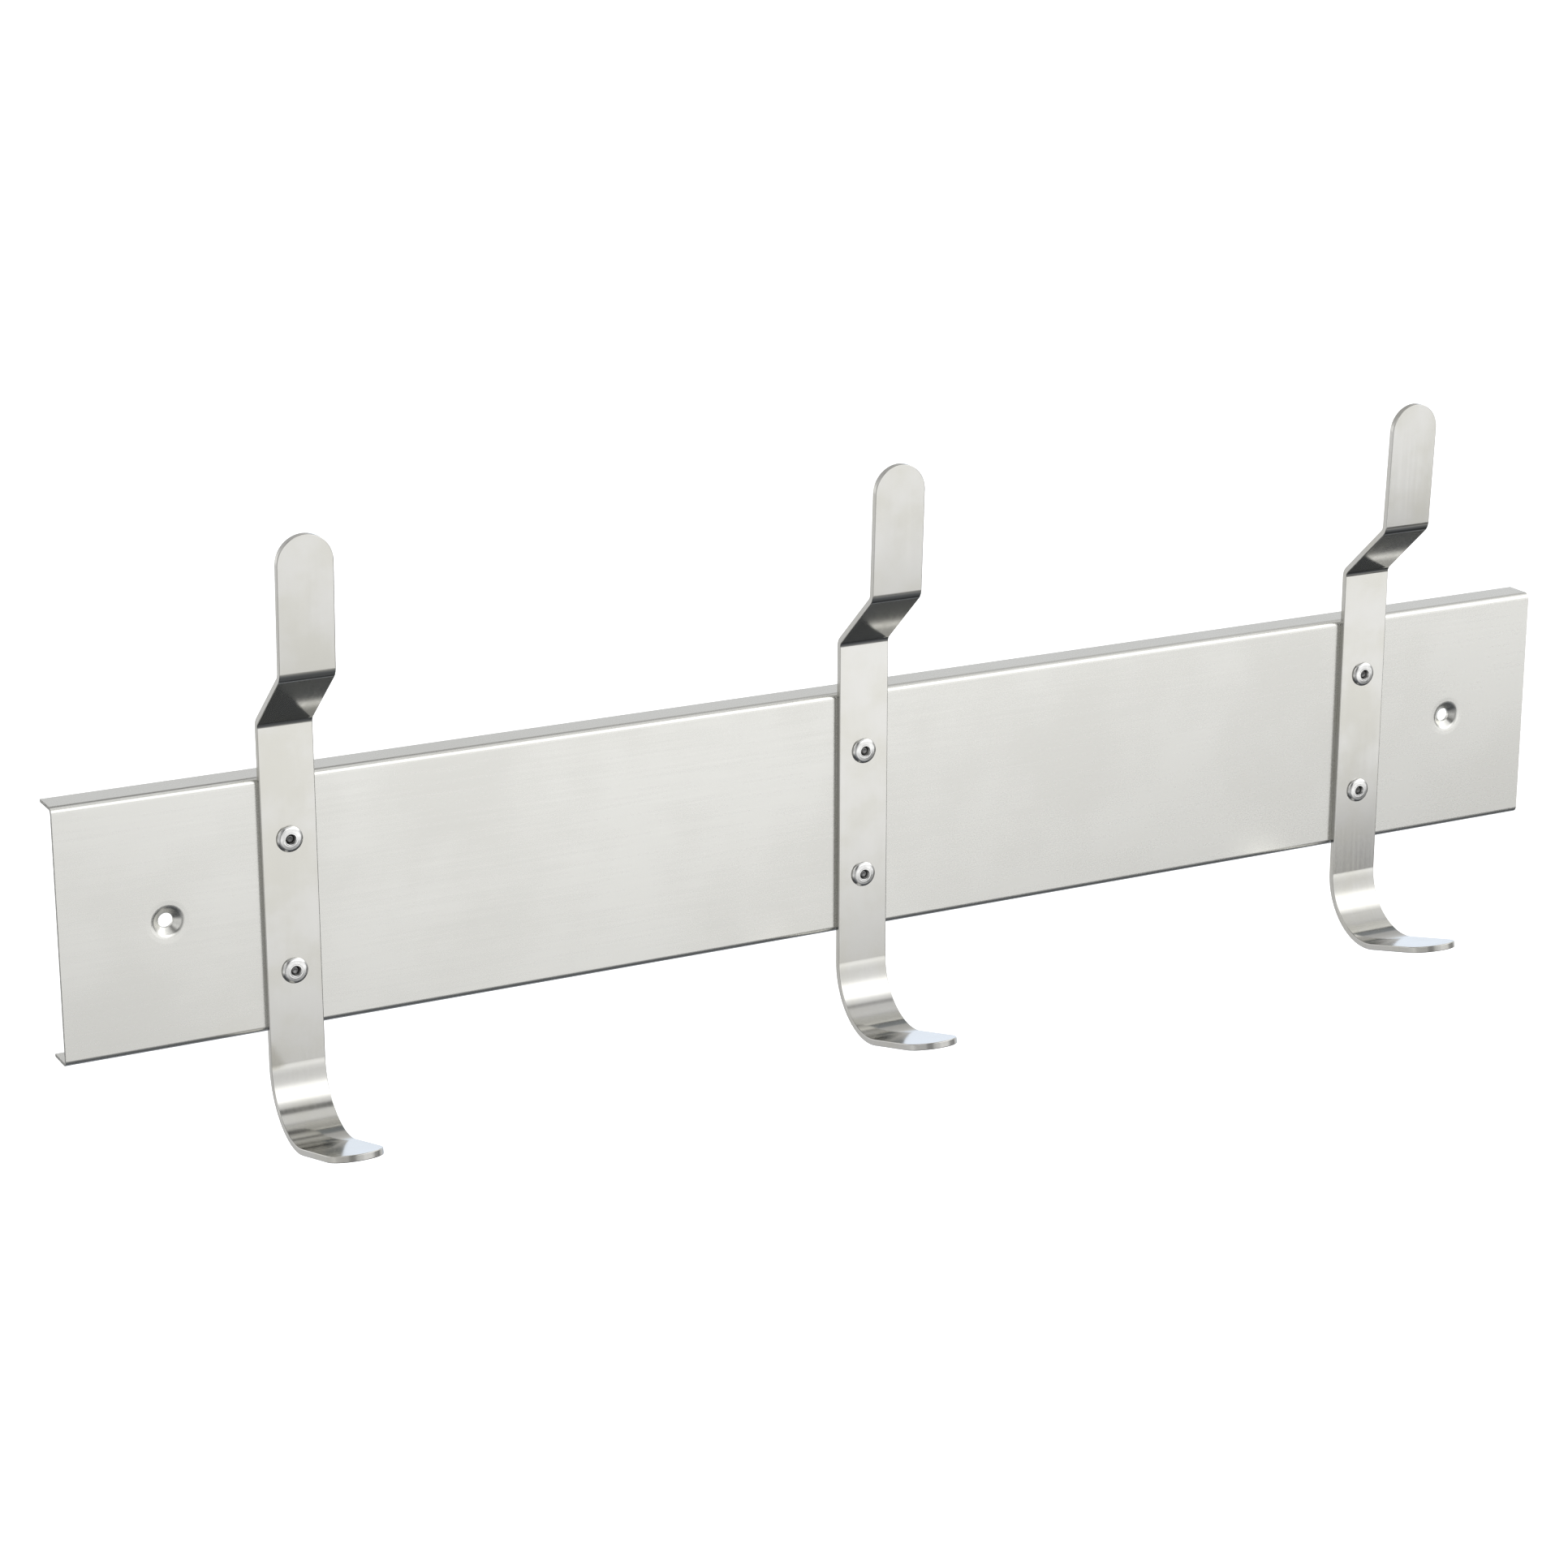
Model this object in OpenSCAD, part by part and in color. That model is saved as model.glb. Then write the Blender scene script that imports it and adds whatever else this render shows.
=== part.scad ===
// Wall hook rack: flat-strip hat and coat hooks, riveted to one sheet-metal back plate.
// Millimetres. X runs along the rack, +Z is up, and the wall is the plane y = 0.
// The rack stands in front of the wall, on the -Y side. The origin is on the wall plane,
// in line with the middle between the two screw holes.

/* [Back plate] */
// Length of the back plate
plate_len = 609.6; // [590:0.1:660]
// Height of the back plate
plate_h = 92; // [84:0.5:110]
// Distance from the wall to the front face, which is the depth of the folded edges
plate_depth = 12; // [11:0.5:18]
// Thickness of the sheet
sheet_t = 1.2; // [0.8:0.1:1.5]
// Inside radius of the two long bends
sheet_bend_r = 1.2; // [0.8:0.1:2]

/* [Wall screw holes] */
// Distance between the two screw holes
screw_spacing = 533.4; // [510:0.1:560]
// Diameter of a screw hole
screw_hole_d = 5.2; // [4:0.1:6]
// Diameter of the dimple at the front face
dimple_d = 11.4; // [10.6:0.1:16]
// Diameter of the dimple's side just below its rolled lip
dimple_side_d = 10.2; // [9.4:0.1:10.4]
// Diameter of the dimple's flat floor
dimple_floor_d = 5.8; // [5.6:0.1:8]
// How far the dimple's floor lies behind the front face
dimple_depth = 2.2; // [1.2:0.1:4.5]
// Depth of the dimple's rolled lip
dimple_lip_depth = 0.5; // [0.3:0.1:0.8]

/* [Hooks] */
// Distance from one hook to the next
hook_pitch = 223; // [200:0.5:228]
// Width of the strip
hook_w = 20; // [16:0.5:24]
// Thickness of the strip
strip_t = 2.4; // [2:0.1:3.2]
// Inside radius of the joggle's two bends
joggle_bend_r = 3; // [2:0.25:4]
// Height of the joggle's lower corner above the middle of the plate
joggle_z = 65.8; // [60:0.2:72]
// Height that the joggle climbs
joggle_rise = 21.5; // [18:0.5:30]
// Distance that the joggle comes forward
joggle_out = 24.1; // [18:0.1:30]
// Length of the upper finger, from the joggle's upper corner to its round tip
finger_len = 48.7; // [40:0.1:60]
// Angle at which the upper finger leans forward
finger_lean = 2.5; // [0:0.5:6]
// Inside radius of the lower hook
cradle_r = 21.6; // [18:0.1:26]
// Depth of the lower hook's centre below the middle of the plate
cradle_drop = 57.5; // [56:0.5:70]
// Angle at which the lip rises towards its tip
lip_rise = 15; // [5:1:25]
// Length of the straight lip, to its round tip
lip_len = 34.2; // [26:0.1:44]

/* [Rivets] */
// Distance between a hook's two rivets
rivet_pitch = 47.6; // [40:0.2:56]
// Diameter of a rivet's hole in the strip and the sheet
rivet_hole_d = 4.9; // [4.9:0.05:5.1]
// Diameter of the rivet's shank
rivet_shank_d = 4.8; // [4.6:0.05:4.8]
// Diameter of the rivet's head
rivet_head_d = 9.5; // [8.6:0.1:10]
// Height of the rivet's head
rivet_head_h = 1.5; // [1.3:0.1:1.8]
// Height of the upright rim at the edge of the head
rivet_rim_h = 0.35; // [0.2:0.05:0.5]
// Diameter of the flat land on top of the head
rivet_land_d = 5.2; // [4.6:0.1:5.6]
// Diameter of the mouth of the rivet's bore
rivet_mouth_d = 3.8; // [3.2:0.1:4.2]
// Depth of the mouth
rivet_mouth_depth = 1.3; // [0.8:0.1:1.4]
// Diameter of the bulge that is set behind the sheet
rivet_bulge_d = 6.8; // [6:0.1:7.4]
// Length of the bulge
rivet_bulge_len = 2.6; // [2.2:0.1:3.2]
// Diameter of the mandrel's stem
mandrel_d = 2.8; // [2.4:0.1:2.8]
// How far the broken end of the mandrel lies below the top of the head
mandrel_recess = 0.9; // [0.5:0.1:1.2]

/* [Hidden] */
$fn = 96;
STEEL = [0.80, 0.80, 0.78];
HOOK_STEEL = [0.78, 0.77, 0.74];
RIVET_STEEL = [0.86, 0.86, 0.86];
MANDREL_STEEL = [0.45, 0.45, 0.46];
EPS = 0.01;
// Bends and round ends stand this much wide of tangent, so that they cross their straights cleanly.
ease = 0.002;
// Run of the sloping seam where a bend and a straight of the same strip overlap
seam_run = 0.5;
// Extra length of a strip's end, which the round end's cut takes off again
end_spare = 1;
// Length of a cutter that passes right through the plate
through = plate_depth + 2;

HOOK_NAMES = ["left", "middle", "right"];
ROW_NAMES = ["upper", "lower"];
HOOK_X = [-hook_pitch, 0, hook_pitch];
RIVET_Z = [rivet_pitch / 2, -rivet_pitch / 2];

// The strip's middle line lies half its thickness in front of the plate.
strip_y = -(plate_depth + strip_t / 2);
strip_front_y = -(plate_depth + strip_t);

// Radii of the strip's bends, on its middle line
joggle_mid_r = joggle_bend_r + strip_t / 2;
cradle_mid_r = cradle_r + strip_t / 2;

// The joggle as seen from the side: its slant, and how much each bend takes from its straights
joggle_slant = atan(joggle_out / joggle_rise);
joggle_low_cut = joggle_mid_r * tan(joggle_slant / 2);
joggle_high_cut = joggle_mid_r * tan((joggle_slant - finger_lean) / 2);
joggle_len = norm([joggle_out, joggle_rise]);
lip_angle = 90 + lip_rise;

// Steps of a bent strip: [length of the straight, turn of the bend after it, its middle radius]
HOOK_UP = [
    [joggle_z - joggle_low_cut, joggle_slant, joggle_mid_r],
    [joggle_len - joggle_low_cut - joggle_high_cut, finger_lean - joggle_slant, joggle_mid_r],
    [finger_len - joggle_high_cut + end_spare, 0, 0]
];
HOOK_DOWN = [
    [cradle_drop, -lip_angle, cradle_mid_r],
    [lip_len + end_spare, 0, 0]
];

sheet_mid_r = sheet_bend_r + sheet_t / 2;
SHEET_HALF = [
    [plate_h / 2 - sheet_t / 2 - sheet_mid_r, -90, sheet_mid_r],
    [plate_depth - sheet_t / 2 - sheet_mid_r, 0, 0]
];
sheet_y = -(plate_depth - sheet_t / 2);

// Tips of the upper finger and of the lip, as [y, z], and the directions that they point in
finger_dir = [-sin(finger_lean), cos(finger_lean)];
finger_tip = [strip_y - joggle_out, joggle_z + joggle_rise] + finger_len * finger_dir;
lip_dir = [-cos(lip_rise), sin(lip_rise)];
lip_tip = [strip_y - cradle_mid_r, -cradle_drop]
    + cradle_mid_r * [-sin(lip_rise), -cos(lip_rise)] + lip_len * lip_dir;

// Rivet, measured from the strip's front face: z is towards the viewer
rivet_grip = strip_t + sheet_t;
rivet_tail_z = -(rivet_grip + rivet_bulge_len);
// Clearance on diameter between the rivet and its mandrel
mandrel_gap = 0.1;
rivet_bore_d = mandrel_d + mandrel_gap;
// Socket at the rivet's tail, and how far the mandrel's head stands out of it
rivet_socket_d = 4.6;
rivet_socket_depth = 1.1;
mandrel_head_d = rivet_socket_d - mandrel_gap;
mandrel_head_out = 0.6;
// The dome is part of a sphere through the rim's top and the land's edge.
rim_r = rivet_head_d / 2;
land_r = rivet_land_d / 2;
dome_z = (pow(rim_r, 2) + pow(rivet_rim_h, 2) - pow(land_r, 2) - pow(rivet_head_h, 2))
    / (2 * (rivet_rim_h - rivet_head_h));
dome_r = norm([rim_r, rivet_rim_h - dome_z]);

// Everything behind the sloping seam at the start of a bend, whose centre is at the origin
module behind_seam(side, r, t) {
    reach = 2 * (r + t);
    translate([0, side * (t / 2 - r)])
        rotate(-side * atan(seam_run / t))
            translate([-reach, -reach])
                square([reach, 2 * reach]);
}

// Side view of a bent strip of thickness t, which sets off along +X. A left turn is positive.
// last_side is the side that the bend before it has its centre on.
module bent_strip(steps, t, i = 0, last_side = 0) {
    run = steps[i][0];
    turn = steps[i][1];
    r = steps[i][2];
    side = sign(turn);
    polygon([
        [min(last_side, 0) * seam_run, -t / 2],
        [run - min(side, 0) * seam_run, -t / 2],
        [run + max(side, 0) * seam_run, t / 2],
        [-max(last_side, 0) * seam_run, t / 2]
    ]);
    if (turn != 0)
        translate([run, side * r]) {
            difference() {
                circle(r + t / 2 + ease);
                circle(r - t / 2 + ease);
                behind_seam(side, r, t);
                rotate(turn)
                    mirror([1, 0])
                        behind_seam(side, r, t);
            }
            rotate(turn)
                translate([0, -side * r])
                    bent_strip(steps, t, i + 1, side);
        }
}

// Extrudes a side view, drawn as [y, z], across the width w about x = 0
module across(w) {
    translate([-w / 2, 0, 0])
        rotate([90, 0, 90])
            linear_extrude(w)
                children();
}

// Turns children that stand on +Z to face the viewer at [x, y, z]
module facing_front(x, y, z) {
    translate([x, y, z])
        rotate([90, 0, 0])
            children();
}

// Takes the two corners off a strip's end at point tip, to leave a full-radius end
module round_end_cut(tip, dir) {
    r = hook_w / 2 + ease;
    translate([0, tip[0], tip[1]])
        rotate([atan2(dir[1], dir[0]) - 90, 0, 0])
            translate([0, 0, -r])
                difference() {
                    translate([-hook_w, -2 * strip_t, 0])
                        cube([2 * hook_w, 4 * strip_t, 2 * r]);
                    rotate([90, 0, 0])
                        cylinder(h = 6 * strip_t, r = r, center = true);
                }
}

// Sheet metal of one dimple, which stands on z = 0 at the sheet's front face and goes down
module dimple_cup() {
    rotate_extrude()
        polygon([
            [0, -dimple_depth - sheet_t],
            [dimple_floor_d / 2, -dimple_depth - sheet_t],
            [dimple_side_d / 2 + sheet_t, -sheet_t],
            [dimple_d / 2 + sheet_t, -sheet_t],
            [dimple_d / 2 + sheet_t, 0],
            [dimple_d / 2, 0],
            [dimple_side_d / 2, -dimple_lip_depth],
            [dimple_floor_d / 2, -dimple_depth],
            [0, -dimple_depth]
        ]);
}

module back_plate() {
    color(STEEL)
        difference() {
            union() {
                difference() {
                    across(plate_len)
                        for (side = [0, 1])
                            mirror([0, side])
                                translate([sheet_y, 0])
                                    rotate(90)
                                        bent_strip(SHEET_HALF, sheet_t);
                    for (side = [-1, 1])
                        facing_front(side * screw_spacing / 2, -plate_depth / 2, 0)
                            cylinder(h = through, d = dimple_d + sheet_t, center = true);
                }
                for (side = [-1, 1])
                    facing_front(side * screw_spacing / 2, -plate_depth, 0)
                        dimple_cup();
            }
            for (side = [-1, 1])
                facing_front(side * screw_spacing / 2, -plate_depth / 2, 0)
                    cylinder(h = through, d = screw_hole_d, center = true);
            for (x = HOOK_X)
                for (z = RIVET_Z)
                    facing_front(x, -plate_depth / 2, z)
                        cylinder(h = through, d = rivet_hole_d, center = true);
        }
}

module hook(x) {
    color(HOOK_STEEL)
        translate([x, 0, 0])
            difference() {
                across(hook_w)
                    translate([strip_y, 0]) {
                        rotate(90)
                            bent_strip(HOOK_UP, strip_t);
                        rotate(-90)
                            bent_strip(HOOK_DOWN, strip_t);
                    }
                round_end_cut(finger_tip, finger_dir);
                round_end_cut(lip_tip, lip_dir);
                for (z = RIVET_Z)
                    facing_front(0, strip_y, z)
                        cylinder(h = 2 * strip_t, d = rivet_hole_d, center = true);
            }
}

module rivet(x, z) {
    color(RIVET_STEEL)
        facing_front(x, strip_front_y, z)
            rotate_extrude()
                difference() {
                    union() {
                        intersection() {
                            translate([0, dome_z])
                                circle(dome_r);
                            square([rim_r, rivet_head_h]);
                        }
                        translate([0, rivet_tail_z])
                            square([rivet_shank_d / 2, EPS - rivet_tail_z]);
                        translate([0, rivet_tail_z])
                            square([rivet_bulge_d / 2, rivet_bulge_len]);
                    }
                    translate([0, rivet_tail_z - EPS])
                        square([rivet_bore_d / 2, rivet_head_h - rivet_tail_z + 2 * EPS]);
                    translate([0, rivet_head_h - rivet_mouth_depth])
                        square([rivet_mouth_d / 2, rivet_mouth_depth + EPS]);
                    translate([0, rivet_tail_z - EPS])
                        square([rivet_socket_d / 2, rivet_socket_depth + EPS]);
                }
}

module mandrel(x, z) {
    head_z = rivet_tail_z - mandrel_head_out;
    head_len = mandrel_head_out + rivet_socket_depth;
    color(MANDREL_STEEL)
        facing_front(x, strip_front_y, z)
            union() {
                translate([0, 0, head_z])
                    cylinder(h = head_len, d = mandrel_head_d);
                translate([0, 0, head_z])
                    cylinder(h = rivet_head_h - mandrel_recess - head_z, d = mandrel_d);
            }
}

back_plate();
for (i = [0:2]) {
    hook(HOOK_X[i]);
    for (j = [0:1]) {
        rivet(HOOK_X[i], RIVET_Z[j]);
        mandrel(HOOK_X[i], RIVET_Z[j]);
    }
}
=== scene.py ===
import math

import bpy
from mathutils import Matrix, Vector, noise


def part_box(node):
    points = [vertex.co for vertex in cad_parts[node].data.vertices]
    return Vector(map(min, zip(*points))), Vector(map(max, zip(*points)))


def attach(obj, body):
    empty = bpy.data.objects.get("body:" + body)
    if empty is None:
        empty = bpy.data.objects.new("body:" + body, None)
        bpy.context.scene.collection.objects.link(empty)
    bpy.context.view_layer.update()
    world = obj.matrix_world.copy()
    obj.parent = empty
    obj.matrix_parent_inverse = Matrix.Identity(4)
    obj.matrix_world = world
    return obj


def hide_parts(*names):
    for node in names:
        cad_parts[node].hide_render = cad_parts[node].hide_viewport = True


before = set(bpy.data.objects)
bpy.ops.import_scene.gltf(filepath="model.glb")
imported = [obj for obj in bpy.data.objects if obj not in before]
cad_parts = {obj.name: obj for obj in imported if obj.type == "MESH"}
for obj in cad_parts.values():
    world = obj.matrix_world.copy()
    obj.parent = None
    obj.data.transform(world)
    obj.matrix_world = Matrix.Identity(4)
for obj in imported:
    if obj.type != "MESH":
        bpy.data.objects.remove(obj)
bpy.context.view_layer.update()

MM = 0.001
HOOKS = ("left", "middle", "right")
ROWS = ("upper", "lower")

# Sizes that the CAD model has, in millimetres, and its angles LIP_RISE and FINGER_LEAN in degrees
SHEET_T = 1.2
SHEET_BEND = 1.2
STRIP_T = 2.4
JOGGLE_BEND = 3.0
CRADLE_R = 21.6
CRADLE_DROP = 57.5
LIP_RISE = 15.0
LIP_LEN = 34.2
JOGGLE_Z = 65.8
JOGGLE_RISE = 21.5
JOGGLE_OUT = 24.1
FINGER_LEAN = 2.5
FINGER_LEN = 48.7
RIVET_HOLE_R = 2.45
SCREW_HOLE_R = 2.6
DIMPLE_DEPTH = 2.2
SCREW_X = 266.7
STRIP_W = 20.0

# Sizes that only the visual meshes have, in millimetres
SHEET_EDGE_R = 0.14
STRIP_EDGE_R = 0.34
# Half the side of the flat cell round a rivet's hole and round a dimple
RIVET_CELL = 5
DIMPLE_CELL = 10
# The ring of flat metal round a hole, and the outer radius of a dimple's rings
HOLE_RING = 1.5
DIMPLE_RING_R = 9.2

# Steps in a quarter of a round end and round a hole, and the steps in a metre in which points are told apart
END_STEPS = 16
HOLE_STEPS = 64
WELD_GRID = 1e7

# The studio's brightness in front and behind: [(height in degrees, brightness), ...]
FRONT = [(-90, 0.1), (-50, 0.12), (-38, 0.2), (-30, 0.45), (-25, 0.8), (-21, 1.13), (-19, 1.21),
         (-16.5, 1.29), (-14, 1.3), (-10, 1.09), (-2, 0.95), (7, 0.99), (13, 1.08), (17, 1.3), (20, 1.6),
         (24, 1.8), (43, 1.8), (48, 1.1), (53, 0.85), (60, 0.75), (70, 0.9), (80, 0.75), (90, 0.6)]
BACK = [(-90, 0.3), (-55, 0.38), (-44, 0.45), (-25, 0.7), (-14, 0.85), (-8, 1.22), (2, 1.22), (9, 0.95),
        (16, 0.74), (30, 0.62), (45, 0.6), (70, 0.6), (90, 0.6)]
# The brightness that the top of a colour ramp stands for
FULL_SCALE = 4.0
# Cards laid over it: [((around from, around to, height from, height to), softness, brightness), ...]
CARDS = [((30, 50, 56, 65), 2.5, 0.25), ((50, 62, 51, 58), 2.5, 0.5), ((138, 172, 44, 72), 5.0, 0.2),
         ((-40, -14, -45, 14), 5.0, 0.38), ((-46, -12, 14, 50), 5.0, 0.12)]


# ---------------------------------------------------------------- mesh building

class Shell:
    """Collects faces whose corners each carry their own normal, and shares the points that meet."""

    def __init__(self):
        self.points, self.index = [], {}
        self.faces, self.normals, self.uvs, self.edge_wear_and_shade = [], [], [], []

    def point(self, co):
        key = tuple(round(c * WELD_GRID) for c in co)
        if key not in self.index:
            self.index[key] = len(self.points)
            self.points.append(tuple(co))
        return self.index[key]

    def face(self, corners):
        """Adds one face. corners: [(place, normal, uv, wear), ...] in metres. They may run either way round,
        because the normals say which side is out."""
        ids = [self.point(c[0]) for c in corners]
        keep = [k for k in range(len(ids)) if ids[k] != ids[k - 1]]
        if len({ids[k] for k in keep}) < 3:
            return
        turn, outward = Vector(), Vector()
        for a, b in zip(keep, keep[1:] + keep[:1]):
            turn += Vector(self.points[ids[a]]).cross(Vector(self.points[ids[b]])) * 1e6
            outward += Vector(corners[a][1])
        if turn.dot(outward) < 0:
            keep.reverse()
        self.faces.append([ids[k] for k in keep])
        for k in keep:
            self.normals.append(Vector(corners[k][1]).normalized())
            self.uvs.append(corners[k][2])
            self.edge_wear_and_shade.append(corners[k][3])

    def build(self, name, material):
        mesh = bpy.data.meshes.new(name)
        mesh.from_pydata(self.points, [], self.faces)
        mesh.polygons.foreach_set("use_smooth", [True] * len(mesh.polygons))
        layer = mesh.uv_layers.new(name="grain")
        layer.data.foreach_set("uv", [v for uv in self.uvs for v in uv])
        # the edge mark on every corner: the steel darkens the edges with it as painted shade, and roughens
        # them
        edge_wear_and_shade = mesh.color_attributes.new("edge_wear_and_shade", "FLOAT_COLOR", "CORNER")
        edge_wear_and_shade.data.foreach_set("color", [v for w in self.edge_wear_and_shade for v in (w, w, w, 1.0)])
        mesh.normals_split_custom_set(self.normals)
        mesh.materials.append(material)
        mesh.update()
        obj = bpy.data.objects.new(name, mesh)
        bpy.context.scene.collection.objects.link(obj)
        return obj


def rounded_path(corners, radii, step=4.0):
    """A line through 2D corners with round bends: [(place, tangent, length so far), ...].
    A bend is drawn in steps of at most step degrees. A corner with no radius is sharp, and is listed twice,
    once with each tangent."""
    pts = [Vector(c) for c in corners]
    out, length = [], 0.0

    def add(p, t):
        nonlocal length
        if out:
            length += (p - out[-1][0]).length
        out.append((p, t.copy(), length))

    last = len(pts) - 1
    for i, p in enumerate(pts):
        if i == 0:
            add(p, (pts[1] - p).normalized())
            continue
        t0 = (p - pts[i - 1]).normalized()
        if i == last:
            add(p, t0)
            continue
        t1 = (pts[i + 1] - p).normalized()
        turn = math.atan2(t0.x * t1.y - t0.y * t1.x, t0.dot(t1))
        r = radii[i]
        if r == 0 or abs(turn) < 1e-6:
            add(p, t0)
            if abs(turn) > 1e-6:
                add(p, t1)
            continue
        start = p - t0 * r * math.tan(abs(turn) / 2)
        side = Vector((-t0.y, t0.x)) * math.copysign(1, turn)
        centre = start + side * r
        n = max(3, math.ceil(math.degrees(abs(turn)) / step))
        begun = length + ((start - out[-1][0]).length)
        for k in range(n + 1):
            a = turn * k / n
            spoke = start - centre
            c, s = math.cos(a), math.sin(a)
            q = centre + Vector((spoke.x * c - spoke.y * s, spoke.x * s + spoke.y * c))
            t = Vector((t0.x * c - t0.y * s, t0.x * s + t0.y * c))
            out.append((q, t, begun + abs(a) * r))
        length = begun + abs(turn) * r
    return out


class Path:
    """Looks up place, tangent and normal at any length along a rounded path."""

    def __init__(self, samples):
        self.samples = samples
        self.length = samples[-1][2]
        self.marks = sorted({round(s[2], 6) for s in samples})

    def at(self, s):
        sm = self.samples
        s = min(max(s, 0.0), self.length)
        for (p, t, a), (q, u, b) in zip(sm, sm[1:]):
            if a <= s <= b and b > a:
                k = (s - a) / (b - a)
                tan = (t * (1 - k) + u * k).normalized()
                return p * (1 - k) + q * k, tan, Vector((-tan.y, tan.x))
        return sm[-1][0], sm[-1][1], Vector((-sm[-1][1].y, sm[-1][1].x))


def turned_outline(corners, step):
    """A rounded path through corners given as [(radius, height, bend radius), ...]."""
    return rounded_path([c[:2] for c in corners], [c[2] for c in corners], step)


def edge_rings(t, e, n=4):
    """Rings round an edge of radius e on a strip of thickness t, from its front face to its back:
    [(inset, height, face share, side share), ...]"""
    rings = []
    for k in range(n + 1):
        a = math.pi / 2 * k / n
        rings.append((e * (1 - math.sin(a)), t / 2 - e + e * math.cos(a), math.cos(a), math.sin(a)))
    return rings + [(i, -h, -f, s) for i, h, f, s in reversed(rings)]


def strip(shell, path, width, t, e, columns, marks=(), round_ends=False, holes=(), x0=0.0, uv_along_x=False):
    """Adds a bent strip of thickness t with edges of radius e. path is its middle line in (y, z), its width
    lies along X, and it gets extra rows at marks. columns are the places across it, or shares of its half
    width where it has round ends.
    holes: [(length, x, ring profile), ...], each in a flat cell between rows and columns"""
    half, rings, end_r = width / 2, edge_rings(t, e), width / 2
    rows = []
    lo, hi = (end_r, path.length - end_r) if round_ends else (0.0, path.length)
    if round_ends:
        for k in range(END_STEPS, 0, -1):
            rows.append(("cap", -1, math.pi / 2 * k / END_STEPS))
    inner = sorted({m for m in path.marks if lo < m < hi} | set(marks) | {lo, hi})
    rows += [("row", 0, s) for s in inner]
    if round_ends:
        for k in range(1, END_STEPS + 1):
            rows.append(("cap", 1, math.pi / 2 * k / END_STEPS))

    def place_row(i, inset):
        kind, way, v = rows[i]
        if kind == "cap":
            c = lo if way < 0 else hi
            return c + way * (end_r - inset) * math.sin(v), (end_r - inset) * math.cos(v)
        s = v
        if not round_ends:
            s = v + inset if i == 0 else v - inset if i == len(rows) - 1 else v
        return s, half - inset

    def corner(s, x, h, f, out_x, out_s, edge_wear_and_shade):
        p, tan, n = path.at(s)
        q = p + n * h
        normal = Vector((out_x, tan.x * out_s + n.x * f, tan.y * out_s + n.y * f))
        uv = ((x0 + x) * MM, s * MM) if uv_along_x else (s * MM, (x0 + x) * MM)
        return ((x0 + x) * MM, q.x * MM, q.y * MM), normal, uv, edge_wear_and_shade

    def across(i, inset):
        s, hw = place_row(i, inset)
        if round_ends:
            return s, [c * hw for c in columns]
        return s, [-hw, *columns[1:-1], hw]

    for face in (1, -1):
        for i in range(len(rows) - 1):
            (s0, c0), (s1, c1) = across(i, e), across(i + 1, e)
            for j in range(len(c0) - 1):
                quad = [(s0, c0[j]), (s0, c0[j + 1]), (s1, c1[j + 1]), (s1, c1[j])]
                hole = next((h for h in holes if s0 < h[0] < s1 and c0[j] < h[1] < c0[j + 1]), None)
                if hole is None:
                    shell.face([corner(s, x, face * t / 2, face, 0, 0, 0.0) for s, x in quad])
                elif face > 0:
                    add_hole(shell, hole, corner, quad, t)
    for i in range(len(rows) - 1):
        for side in (-1, 1):
            for (i0, h0, f0, o0), (i1, h1, f1, o1) in zip(rings, rings[1:]):
                quad = []
                for row, inset, h, f, o in ((i, i0, h0, f0, o0), (i + 1, i0, h0, f0, o0),
                                            (i + 1, i1, h1, f1, o1), (i, i1, h1, f1, o1)):
                    s, hw = place_row(row, inset)
                    kind, way, v = rows[row]
                    ox, os = (math.cos(v), way * math.sin(v)) if kind == "cap" else (1.0, 0.0)
                    # the last value, the side share, is the edge mark that the steel uses to darken edges as
                    # painted shade
                    quad.append(corner(s, side * hw, h, f, side * ox * o, os * o, o))
                shell.face(quad)
    if not round_ends:
        for row, way in ((0, -1), (len(rows) - 1, 1)):
            for (i0, h0, f0, o0), (i1, h1, f1, o1) in zip(rings, rings[1:]):
                (sa, ca), (sb, cb) = across(row, i0), across(row, i1)
                for j in range(len(ca) - 1):
                    quad = [corner(sa, ca[j], h0, f0, 0, way * o0, o0),
                            corner(sb, cb[j], h1, f1, 0, way * o1, o1),
                            corner(sb, cb[j + 1], h1, f1, 0, way * o1, o1),
                            corner(sa, ca[j + 1], h0, f0, 0, way * o0, o0)]
                    shell.face(quad)


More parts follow.
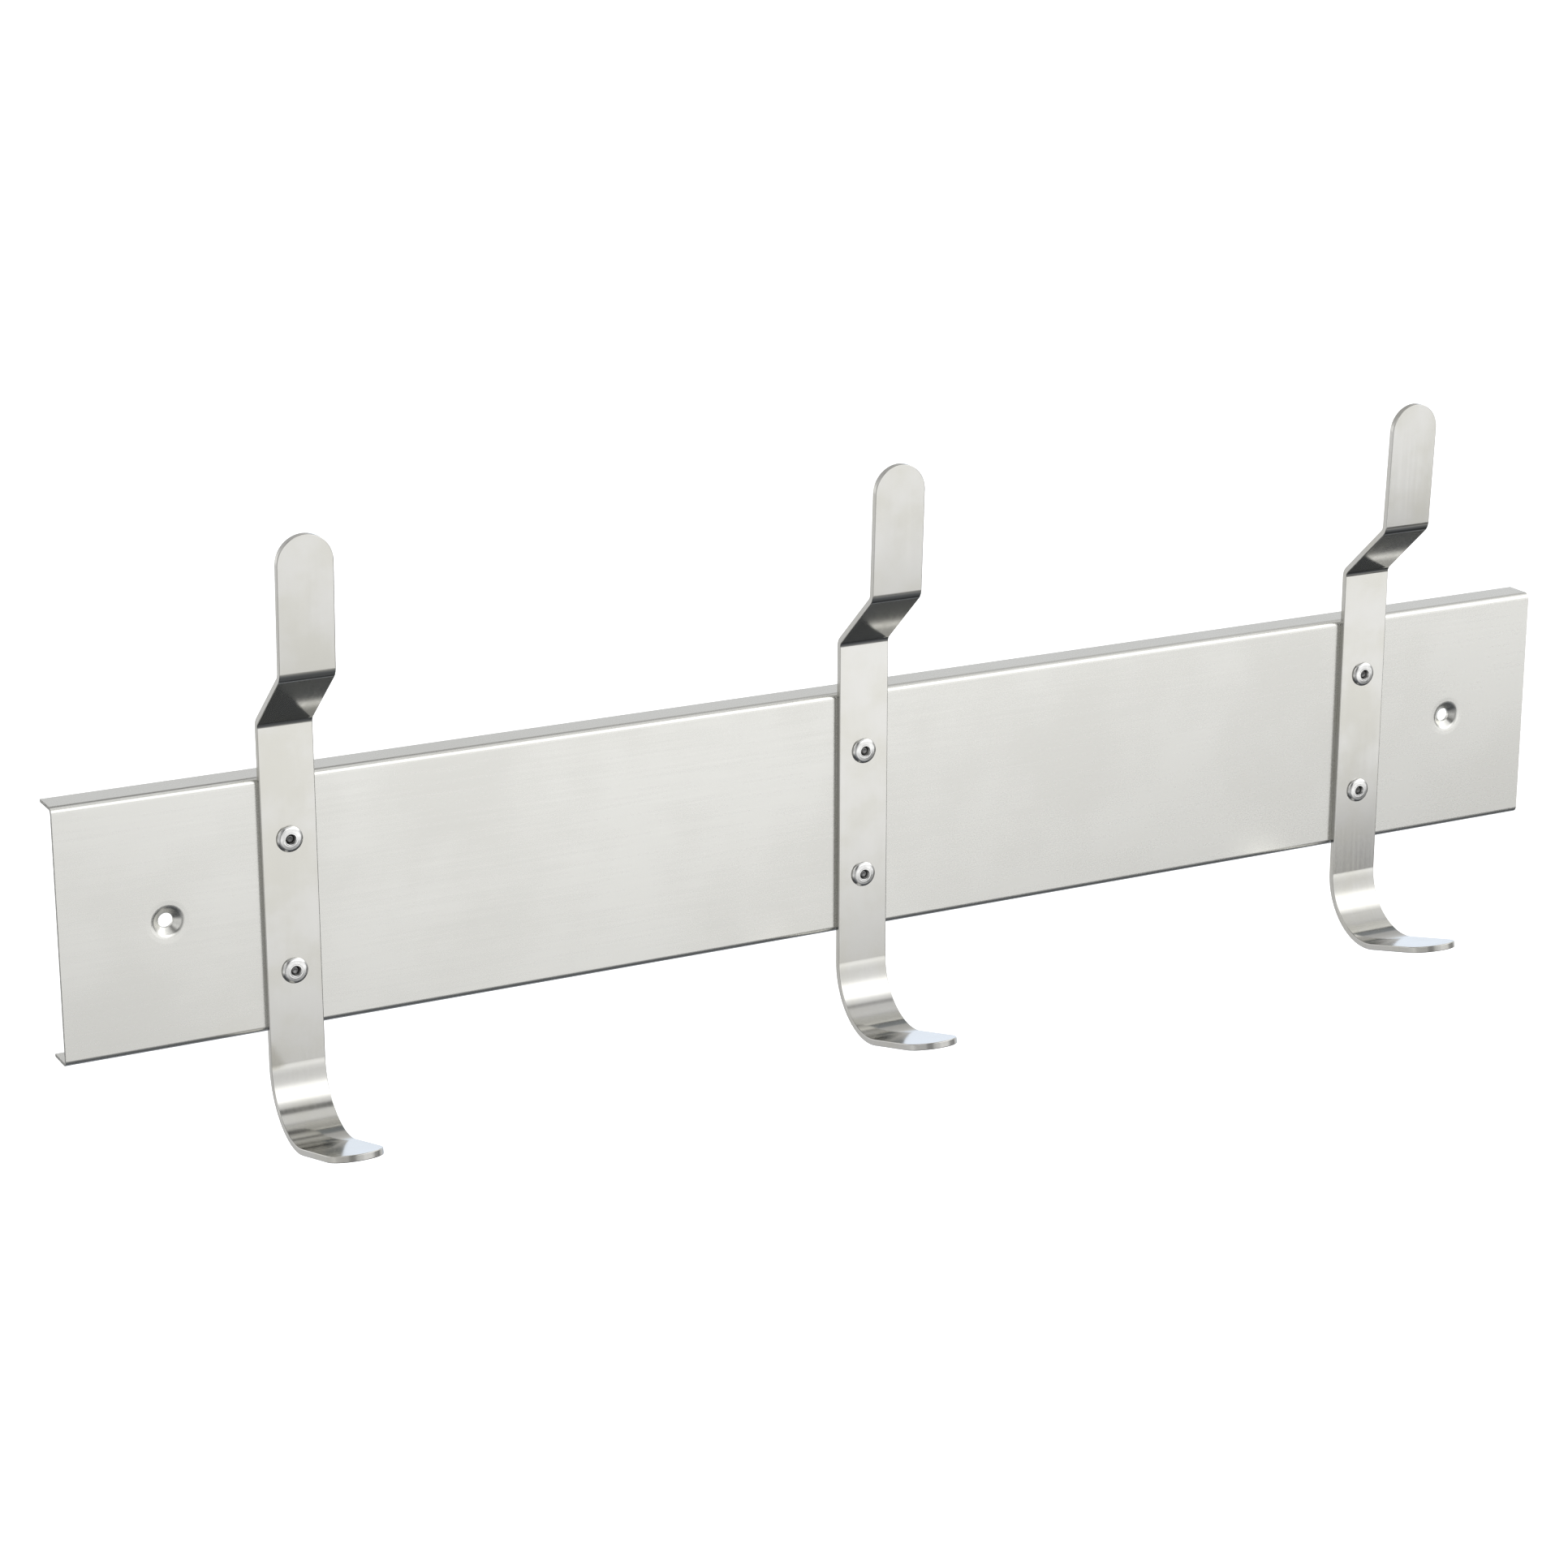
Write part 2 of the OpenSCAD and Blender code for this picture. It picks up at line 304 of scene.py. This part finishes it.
def add_hole(shell, hole, corner, quad, t):
    """Fills one flat cell of a strip with a round hole or dimple. The ring profile starts at the front."""
    s_c, x_c, profile = hole
    n = HOLE_STEPS

    def on_ring(k, ring):
        r, h, nr, nh = ring
        a = 2 * math.pi * (k % n) / n
        s, x = s_c + r * math.sin(a), x_c + r * math.cos(a)
        co, _, uv, _ = corner(s, x, h, 1, 0, 0, 0)
        _, up, _, _ = corner(s_c, x_c, 0, 1, 0, 0, 0)
        _, along, _, _ = corner(s_c, x_c, 0, 0, 0, 1, 0)
        normal = Vector((math.cos(a), 0, 0)) * nr + along * (math.sin(a) * nr) + up * nh
        return co, normal, uv, 0.0

    for k in range(n):
        for r0, r1 in zip(profile, profile[1:]):
            shell.face([on_ring(k + 1, r0), on_ring(k, r0), on_ring(k, r1), on_ring(k + 1, r1)])
    s_lo, s_hi = min(q[0] for q in quad), max(q[0] for q in quad)
    x_lo, x_hi = min(q[1] for q in quad), max(q[1] for q in quad)
    around = [(s_lo, x_hi), (s_hi, x_hi), (s_hi, x_lo), (s_lo, x_lo)]
    for ring, face in ((profile[0], 1), (profile[-1], -1)):
        for side in range(4):
            a, b = around[side], around[(side + 1) % 4]
            first = -n // 8 + side * n // 4
            arc = [on_ring(first + k, ring) for k in range(n // 4, -1, -1)]
            poly = [corner(a[0], a[1], face * t / 2, face, 0, 0, 0.0),
                    corner(b[0], b[1], face * t / 2, face, 0, 0, 0.0)]
            poly += [(p[0], poly[0][1], p[2], 0.0) for p in arc]
            shell.face(poly)


def lathe(shell, samples, place, n=56, ragged=0.0, seed=0.0):
    """Turns a profile of (radius, height) about an axis through place that points to the front.
    samples come from rounded_path, and run so that the open air lies on their left.
    ragged is how rough, in millimetres, everything above rough_from is."""
    rough_from, lumps = 0.2, 1.6

    def corner(k, p, t):
        a = 2 * math.pi * (k % n) / n
        c, s = math.cos(a), math.sin(a)
        rough = 0.0
        if ragged:
            spot = Vector((p.x * c * lumps + seed, p.x * s * lumps, seed))
            rough = ragged * (p.y > rough_from) * noise.noise(spot)
        co = Vector((place.x + p.x * c * MM, place.y - (p.y + rough) * MM, place.z + p.x * s * MM))
        normal = Vector((-c * t.y, -t.x, -s * t.y))
        return co, normal, (p.y * MM, a * p.x * MM), 0.0

    for (p, t, a), (q, u, b) in zip(samples, samples[1:]):
        if (q - p).length < 1e-6:
            continue
        for k in range(n):
            shell.face([corner(k, p, t), corner(k + 1, p, t), corner(k + 1, q, u), corner(k, q, u)])


# ---------------------------------------------------------------- pieces

def hole_profile(r, t):
    """A plain round hole through a sheet, from its front to its back, as rings:
    [(radius, height, normal away from the axis, normal to the front), ...]"""
    h, flat_r = t / 2, r + HOLE_RING
    return [(flat_r, h, 0, 1), (r, h, 0, 1), (r, h, -1, 0),
            (r, -h, -1, 0), (r, -h, 0, -1), (flat_r, -h, 0, -1)]


def dimple_profile():
    """A pressed screw dimple, as rings like those of hole_profile: flat sheet, softly rolled lip, sloping
    side, narrow floor and hole, then the back of the same."""
    face, hole_r, edge = SHEET_T / 2, SCREW_HOLE_R, 0.1
    floor = face - DIMPLE_DEPTH
    floor_back = floor - SHEET_T
    front = turned_outline([(DIMPLE_RING_R, face, 0), (7.6, face, 40), (5.35, face - 0.04, 2.6),
                            (3.05, floor + 0.3, 0.9), (hole_r + edge, floor + 0.03, 0.08),
                            (hole_r, floor - edge, 0), (hole_r, floor_back + edge, 0)], 5)
    back = turned_outline([(hole_r, floor_back + edge, 0), (hole_r + edge, floor_back, 0.05),
                           (3.2, floor_back, 0.5), (5.9, -face, 1.2), (DIMPLE_RING_R, -face, 0)], 6)
    return [(p.x, p.y, along.y, -along.x) for p, along, _ in front + back[1:]]


def make_plate(material):
    lo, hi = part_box("back_plate")
    length, height, depth = ((hi.x - lo.x) / MM, (hi.z - lo.z) / MM, (hi.y - lo.y) / MM)
    y, z = -(depth - SHEET_T / 2), height / 2 - SHEET_T / 2
    mid_r = SHEET_BEND + SHEET_T / 2
    path = Path(rounded_path([(0, -z), (y, -z), (y, z), (0, z)], [0, mid_r, mid_r, 0], 6))
    middle = path.length / 2
    hooks = [centre_of(f"hook_{h}").x / MM for h in HOOKS]
    pitch = centre_of("rivet_left_upper").z / MM
    columns = [-length / 2, -SCREW_X - DIMPLE_CELL, -SCREW_X + DIMPLE_CELL]
    for x in hooks:
        columns += [x - RIVET_CELL, x + RIVET_CELL]
    columns += [SCREW_X - DIMPLE_CELL, SCREW_X + DIMPLE_CELL, length / 2]
    holes = [(middle, sx, dimple_profile()) for sx in (-SCREW_X, SCREW_X)]
    holes += [(middle + sz, x, hole_profile(RIVET_HOLE_R, SHEET_T)) for x in hooks for sz in (-pitch, pitch)]
    marks = [middle + s for s in (-pitch - RIVET_CELL, -pitch + RIVET_CELL, -DIMPLE_CELL, DIMPLE_CELL,
                                  pitch - RIVET_CELL, pitch + RIVET_CELL)]
    shell = Shell()
    strip(shell, path, length, SHEET_T, SHEET_EDGE_R, columns, marks=marks, holes=holes, uv_along_x=True)
    plate = shell.build("back_plate_sheet", material)
    finish_piece(plate, "back_plate")


def make_hook(side, material):
    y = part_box("back_plate")[0].y / MM - STRIP_T / 2
    x = centre_of(f"hook_{side}").x / MM
    mid_r, bend_r = CRADLE_R + STRIP_T / 2, JOGGLE_BEND + STRIP_T / 2
    turn = math.radians(90 + LIP_RISE)
    lip, lean = math.radians(LIP_RISE), math.radians(FINGER_LEAN)
    cut = mid_r * math.tan(turn / 2)
    foot = Vector((y, -CRADLE_DROP - cut))
    tip = foot + Vector((-math.cos(lip), math.sin(lip))) * (cut + LIP_LEN)
    low = Vector((y, JOGGLE_Z))
    high = low + Vector((-JOGGLE_OUT, JOGGLE_RISE))
    top = high + Vector((-math.sin(lean), math.cos(lean))) * FINGER_LEN
    samples = rounded_path([tip, foot, low, high, top], [0, mid_r, bend_r, bend_r, 0], 3.0)
    # the length at the plate's middle, counted from where the cradle ends and the straight strap begins
    on_strap = 1e-3
    strap = next(s for s in samples if abs(s[0].x - y) < on_strap)
    middle = strap[2] - strap[0].y
    path = Path(samples)
    pitch = centre_of("rivet_left_upper").z / MM
    holes = [(middle + s, 0.0, hole_profile(RIVET_HOLE_R, STRIP_T)) for s in (-pitch, pitch)]
    marks = [middle + s for s in (-pitch - RIVET_CELL, -pitch + RIVET_CELL,
                                  pitch - RIVET_CELL, pitch + RIVET_CELL)]
    shell = Shell()
    strip(shell, path, STRIP_W, STRIP_T, STRIP_EDGE_R, [-1, -0.5, 0.5, 1], marks=marks, round_ends=True,
          holes=holes, x0=x)
    hook = shell.build(f"hook_{side}_strip", material)
    finish_piece(hook, f"hook_{side}")


def rivet_place(node):
    """Where the axis of a rivet or its mandrel meets the front of the strip."""
    middle = centre_of(node)
    return Vector((middle.x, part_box("back_plate")[0].y - STRIP_T * MM, middle.z))


def make_rivet(side, row, material):
    node = f"rivet_{side}_{row}"
    bore = [(1.46, -5.1, 0), (1.46, 0.1, 0.05), (1.6, 0.75, 0.3), (1.84, 1.4, 0.06)]
    rim = [(1.98, 1.5, 0.1), (2.35, 1.46, 0.4), (2.6, 1.47, 0.4)]
    dome = [(3.9, 1.34, 1.3), (4.6, 0.78, 0.3), (4.75, 0.36, 0.1), (4.75, 0.0, 0.05)]
    shank = [(2.4, 0.0, 0), (2.4, -3.6, 0)]
    bulge = [(3.0, -3.62, 0.3), (3.4, -4.3, 0.6), (3.3, -5.6, 0.5), (2.75, -6.2, 0.3)]
    socket = [(2.32, -6.2, 0.08), (2.3, -5.1, 0), (1.46, -5.1, 0)]
    shell = Shell()
    lathe(shell, turned_outline(bore + rim + dome + shank + bulge + socket, 9), rivet_place(node))
    rivet = shell.build(f"{node}_body", material)
    finish_piece(rivet, node)


def make_mandrel(side, row, material, seed):
    node = f"mandrel_{side}_{row}"
    broken_end = [(0, 0.42, 0), (0.45, 0.48, 0.2), (0.85, 0.6, 0.2), (1.08, 0.52, 0.12), (1.2, 0.3, 0.3)]
    stem = [(1.4, -0.1, 0.2), (1.4, -5.1, 0)]
    head = [(2.25, -5.12, 0), (2.25, -6.4, 0.4), (1.7, -6.8, 0.5), (0, -6.8, 0)]
    shell = Shell()
    lathe(shell, turned_outline(broken_end + stem + head, 20), rivet_place(node),
          n=32, ragged=0.16, seed=seed)
    pin = shell.build(f"{node}_pin", material)
    finish_piece(pin, node)


def centre_of(node):
    lo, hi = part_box(node)
    return (lo + hi) / 2


def finish_piece(obj, node):
    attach(obj, "root")
    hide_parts(node)


# ---------------------------------------------------------------- materials

class Nodes:
    """Short ways to add and link nodes in one tree."""

    def __init__(self, tree):
        self.tree = tree
        tree.nodes.clear()

    def add(self, kind, values=None, **props):
        node = self.tree.nodes.new(kind)
        for k, v in props.items():
            setattr(node, k, v)
        for k, v in (values or {}).items():
            self.put(node.inputs[k], v)
        return node

    def put(self, socket, v):
        if isinstance(v, bpy.types.NodeSocket):
            self.tree.links.new(v, socket)
        elif isinstance(v, bpy.types.Node):
            self.tree.links.new(v.outputs[0], socket)
        else:
            socket.default_value = v

    def math(self, op, a, b=0.0):
        node = self.tree.nodes.new("ShaderNodeMath")
        node.operation = op
        self.put(node.inputs[0], a)
        self.put(node.inputs[1], b)
        return node.outputs[0]

    def fit(self, v, lo, hi, to_lo, to_hi, shape="LINEAR"):
        """Maps lo to hi onto to_lo to to_hi, and holds the ends."""
        node = self.tree.nodes.new("ShaderNodeMapRange")
        node.interpolation_type = shape
        for k, x in enumerate((v, lo, hi, to_lo, to_hi)):
            self.put(node.inputs[k], x)
        return node.outputs[0]

    def ease(self, v, lo, hi, to_lo, to_hi):
        """The same as fit, with soft ends."""
        return self.fit(v, lo, hi, to_lo, to_hi, "SMOOTHSTEP")

    def noise(self, vector, scale, detail=3.0, rough=0.5):
        return self.add("ShaderNodeTexNoise", {"Vector": vector, "Scale": scale, "Detail": detail,
                                               "Roughness": rough}).outputs["Fac"]

    def stretch(self, vector, scale):
        return self.add("ShaderNodeMapping", {"Vector": vector, "Scale": scale}).outputs[0]


def steel(name, tint, stain, stain_size, roughness, aniso, grain, waviness, offset, edge_shade_tone, edge_rough):
    """Satin stainless steel. The grain runs along U of the uv map, which is in metres. stain_size is the size
    of the patches in millimetres, and grain and waviness are the heights of the relief in metres."""
    mat = bpy.data.materials.new(name)
    mat.use_nodes = True
    k = Nodes(mat.node_tree)
    uv = k.add("ShaderNodeUVMap", uv_map="grain").outputs[0]
    place = k.add("ShaderNodeMapping", {"Vector": k.add("ShaderNodeTexCoord").outputs["Object"],
                                        "Location": offset}).outputs[0]
    streak = k.noise(k.stretch(uv, (22.0, 900.0, 1.0)), 1.0, 1.0, 0.5)
    speck = k.noise(k.stretch(uv, (620.0, 900.0, 1.0)), 1.0, 2.0, 0.6)
    cloud = k.noise(place, 1000.0 / stain_size, 4.0, 0.55)
    patch = k.ease(cloud, 0.36, 0.68, 0.0, 1.0)
    # the edge mark, 1 on the rounded edges and cut faces of the strips: it darkens their colour as painted
    # shade, a thin dark outline
    edge = k.add("ShaderNodeVertexColor", layer_name="edge_wear_and_shade").outputs[0]
    shear = k.math("MULTIPLY", edge, k.noise(place, 620.0, 2.0, 0.6))
    # colour: warm patches over the plain metal, faint streaks and specks, and painted shade on the edges, a
    # dark outline with lighter shear specks
    base = k.add("ShaderNodeMix", {0: patch, 6: tint, 7: stain}, data_type="RGBA").outputs[2]
    tone = k.math("ADD", k.fit(streak, 0.3, 0.7, -0.008, 0.008), k.fit(edge, 0.0, 1.0, 1.0, edge_shade_tone))
    tone = k.math("ADD", tone, k.fit(speck, 0.3, 0.7, -0.012, 0.012))
    tone = k.math("ADD", tone, k.fit(shear, 0.4, 0.65, 0.0, (1.0 - edge_shade_tone) * 0.35))
    colour = k.add("ShaderNodeVectorMath", {0: base, 1: tone}, operation="MULTIPLY").outputs[0]
    # roughness: streaks, patches and smoother rubbed edges
    r = k.math("ADD", k.fit(streak, 0.25, 0.75, roughness - 0.015, roughness + 0.015),
               k.fit(patch, 0.0, 1.0, -0.01, 0.015))
    r = k.math("ADD", r, k.fit(speck, 0.3, 0.7, -0.01, 0.01))
    r = k.math("ADD", r, k.fit(edge, 0.0, 1.0, 0.0, edge_rough))
    # relief: fine grain, and the slight unevenness of rolled sheet
    wave = k.noise(place, 7.0, 1.0, 0.4)
    relief = k.add("ShaderNodeBump", {"Strength": 1.0, "Distance": waviness, "Height": wave}).outputs[0]
    relief = k.add("ShaderNodeBump", {"Strength": 1.0, "Distance": grain, "Height": speck,
                                      "Normal": relief}).outputs[0]
    tangent = k.add("ShaderNodeTangent", direction_type="UV_MAP", uv_map="grain").outputs[0]
    shader = k.add("ShaderNodeBsdfPrincipled", {"Base Color": colour, "Metallic": 1.0, "Roughness": r,
                                                "Anisotropic": aniso, "Anisotropic Rotation": 0.25,
                                                "Normal": relief, "Tangent": tangent})
    k.add("ShaderNodeOutputMaterial", {"Surface": shader})
    return mat


def turned_metal(name, tint, dull, roughness, relief_size, relief):
    """Metal of a small turned piece: mottled, with faint scuffs. relief is their height in metres."""
    mat = bpy.data.materials.new(name)
    mat.use_nodes = True
    k = Nodes(mat.node_tree)
    place = k.add("ShaderNodeTexCoord").outputs["Object"]
    scuff = k.noise(place, relief_size, 4.0, 0.6)
    patch = k.ease(k.noise(place, 420.0, 3.0, 0.5), 0.4, 0.65, 0.0, 1.0)
    colour = k.add("ShaderNodeMix", {0: patch, 6: tint, 7: dull}, data_type="RGBA").outputs[2]
    r = k.math("ADD", k.fit(scuff, 0.3, 0.7, roughness - 0.05, roughness + 0.06),
               k.fit(patch, 0.0, 1.0, 0.0, 0.05))
    bump = k.add("ShaderNodeBump", {"Strength": 1.0, "Distance": relief, "Height": scuff}).outputs[0]
    shader = k.add("ShaderNodeBsdfPrincipled", {"Base Color": colour, "Metallic": 1.0, "Roughness": r,
                                                "Normal": bump})
    k.add("ShaderNodeOutputMaterial", {"Surface": shader})
    return mat


# ---------------------------------------------------------------- studio

def floor_material():
    mat = bpy.data.materials.new("pale_floor")
    mat.use_nodes = True
    k = Nodes(mat.node_tree)
    place = k.add("ShaderNodeTexCoord").outputs["Object"]
    tone = k.fit(k.noise(place, 0.6, 2.0), 0.3, 0.7, 0.97, 1.0)
    colour = k.add("ShaderNodeCombineColor", {0: tone, 1: tone, 2: tone}).outputs[0]
    shader = k.add("ShaderNodeBsdfPrincipled", {"Base Color": colour, "Roughness": 0.9,
                                                "Emission Color": (1, 1, 1, 1), "Emission Strength": 0.55})
    k.add("ShaderNodeOutputMaterial", {"Surface": shader})
    return mat


def make_floor():
    mesh = bpy.data.meshes.new("floor")
    r, z, n = 60.0, -1.5, 64
    ring = [(r * math.cos(2 * math.pi * i / n), r * math.sin(2 * math.pi * i / n), z) for i in range(n)]
    mesh.from_pydata(ring, [], [list(range(n))])
    mesh.materials.append(floor_material())
    floor = bpy.data.objects.new("floor", mesh)
    bpy.context.scene.collection.objects.link(floor)
    floor.visible_glossy = False


def brightness_by_height(k, height, stops):
    """Brightness over the height angle in degrees. stops: [(degrees, brightness), ...]"""
    node = k.add("ShaderNodeValToRGB", {"Fac": k.fit(height, -90.0, 90.0, 0.0, 1.0)})
    el = node.color_ramp.elements
    while len(el) < len(stops):
        el.new(0.5)
    for e, (at, value) in zip(el, stops):
        e.position = (at + 90.0) / 180.0
        grey = value / FULL_SCALE
        e.color = (grey, grey, grey, 1)
    return k.math("MULTIPLY", node.outputs[0], FULL_SCALE)


def card(k, under, around, height, box, soft, value):
    """Lays a soft-edged card over the brightness so far.
    box: (around from, around to, height from, height to)"""
    a0, a1, h0, h1 = box
    mask = k.math("MULTIPLY", k.ease(around, a0 - soft, a0 + soft, 0.0, 1.0),
                  k.ease(around, a1 - soft, a1 + soft, 1.0, 0.0))
    mask = k.math("MULTIPLY", mask, k.ease(height, h0 - soft, h0 + soft, 0.0, 1.0))
    mask = k.math("MULTIPLY", mask, k.ease(height, h1 - soft, h1 + soft, 1.0, 0.0))
    node = k.add("ShaderNodeMix", {0: mask, 2: under, 3: value}, data_type="FLOAT")
    return node.outputs[0]


def make_studio():
    """A soft studio as the metal sees it. Angles are in degrees: height, and around from the front (-Y)
    towards +X."""
    world = bpy.data.worlds.new("studio")
    bpy.context.scene.world = world
    world.use_nodes = True
    k = Nodes(world.node_tree)
    way = k.add("ShaderNodeTexCoord").outputs["Generated"]
    axes = k.add("ShaderNodeSeparateXYZ", {0: way}).outputs
    height = k.math("MULTIPLY", k.math("ARCSINE", axes[2]), 180 / math.pi)
    around = k.math("ARCTAN2", axes[0], k.math("MULTIPLY", axes[1], -1.0))
    around = k.math("MULTIPLY", around, 180 / math.pi)
    aside = k.math("ABSOLUTE", around)
    # in front: dark floor, pale wall, a long softbox, a dark gap and the ceiling
    front = brightness_by_height(k, height, FRONT)
    across = k.ease(around, -20.0, 15.0, 0.68, 0.92)
    across = k.math("ADD", across, k.ease(around, 14.0, 22.0, 0.0, 0.22))
    across = k.math("SUBTRACT", across, k.ease(around, 30.0, 37.0, 0.0, 0.02))
    front = k.math("MULTIPLY", front, across)
    # darker to the far right, and below a slanting line where the floor's sheet meets the wall
    far = k.math("MULTIPLY", k.ease(around, 52.0, 72.0, 0.0, 0.6),
                 k.ease(height, 4.0, 16.0, 1.0, 0.0))
    front = k.math("MULTIPLY", front, k.math("SUBTRACT", 1.0, far))
    line = k.math("ADD", height, k.math("MULTIPLY", around, -0.19))
    under = k.math("MULTIPLY", k.ease(line, -25.0, -24.4, 1.0, 0.0),
                   k.ease(line, -42.0, -35.0, 0.0, 1.0))
    under = k.math("MULTIPLY", under, k.ease(around, 29.0, 35.5, 0.3, 0.8))
    front = k.math("MULTIPLY", front, k.math("SUBTRACT", 1.0, under))
    # behind: grey floor, white backdrop and a darker ceiling
    back = brightness_by_height(k, height, BACK)
    room = k.add("ShaderNodeMix", {0: k.ease(aside, 85.0, 112.0, 0.0, 1.0), 2: front, 3: back},
                 data_type="FLOAT").outputs[0]
    for box, soft, value in CARDS:
        room = card(k, room, around, height, box, soft, value)
    blue = k.math("MULTIPLY", k.fit(around, 110.0, 135.0, 0.0, 0.17), k.fit(height, 4.0, 14.0, 1.0, 0.0))
    blue = k.math("MAXIMUM", blue, k.fit(height, -44.0, -30.0, 0.12, 0.0))
    colour = k.add("ShaderNodeCombineColor", {0: k.math("SUBTRACT", 1.0, blue),
                                              1: k.math("SUBTRACT", 1.0, k.math("MULTIPLY", blue, 0.6)),
                                              2: 1.0}).outputs[0]
    lit = k.add("ShaderNodeBackground", {"Color": colour, "Strength": room})
    plain = k.add("ShaderNodeBackground", {"Color": (1, 1, 1, 1), "Strength": 1.05})
    seen = k.add("ShaderNodeLightPath").outputs["Is Camera Ray"]
    shown = k.add("ShaderNodeMixShader", {0: seen, 1: lit, 2: plain})
    k.add("ShaderNodeOutputWorld", {"Surface": shown})
    bpy.context.scene.view_settings.view_transform = "Standard"


def make_camera():
    data = bpy.data.cameras.new("camera")
    data.sensor_width = 36.0
    data.lens = 88.0
    data.clip_end = 200.0
    camera = bpy.data.objects.new("camera", data)
    bpy.context.scene.collection.objects.link(camera)
    azimuth, elevation, distance = math.radians(27.6), math.radians(17.4), 1.409
    look = Vector((-0.0254, 0.0, 0.0106))
    ahead = Vector((math.sin(azimuth) * math.cos(elevation), math.cos(azimuth) * math.cos(elevation),
                    -math.sin(elevation)))
    camera.location = look - ahead * distance
    camera.rotation_euler = ahead.to_track_quat("-Z", "Y").to_euler()
    bpy.context.scene.camera = camera


# ---------------------------------------------------------------- the scene

make_camera()
make_studio()
make_floor()

# the plate's edge tone darkens its cut edges to a third of their colour as painted shade; the hooks' edge
# tone darkens theirs only slightly
plate_steel = steel("plate_steel", tint=(0.755, 0.752, 0.72, 1), stain=(0.74, 0.735, 0.70, 1), stain_size=60,
                    roughness=0.27, aniso=0.25, grain=0.0000003, waviness=0.00002, offset=(0, 0, 0),
                    edge_shade_tone=0.34, edge_rough=0.2)
make_plate(plate_steel)
for i, side in enumerate(HOOKS):
    hook_steel = steel(f"hook_steel_{side}", tint=(0.57, 0.565, 0.545, 1), stain=(0.55, 0.542, 0.503, 1),
                       stain_size=22, roughness=0.13, aniso=0.25, grain=0.0000004, waviness=0.00002,
                       offset=(0.3 * i, 0.7 * i, 0), edge_shade_tone=0.96, edge_rough=0.05)
    make_hook(side, hook_steel)
rivet_metal = turned_metal("rivet_metal", tint=(0.8, 0.8, 0.79, 1), dull=(0.72, 0.72, 0.71, 1),
                           roughness=0.2, relief_size=900, relief=0.000004)
mandrel_metal = turned_metal("mandrel_metal", tint=(0.26, 0.26, 0.26, 1), dull=(0.14, 0.14, 0.14, 1),
                             roughness=0.34, relief_size=2500, relief=0.00005)
for i, side in enumerate(HOOKS):
    for j, row in enumerate(ROWS):
        make_rivet(side, row, rivet_metal)
        make_mandrel(side, row, mandrel_metal, 3.7 * (2 * i + j))
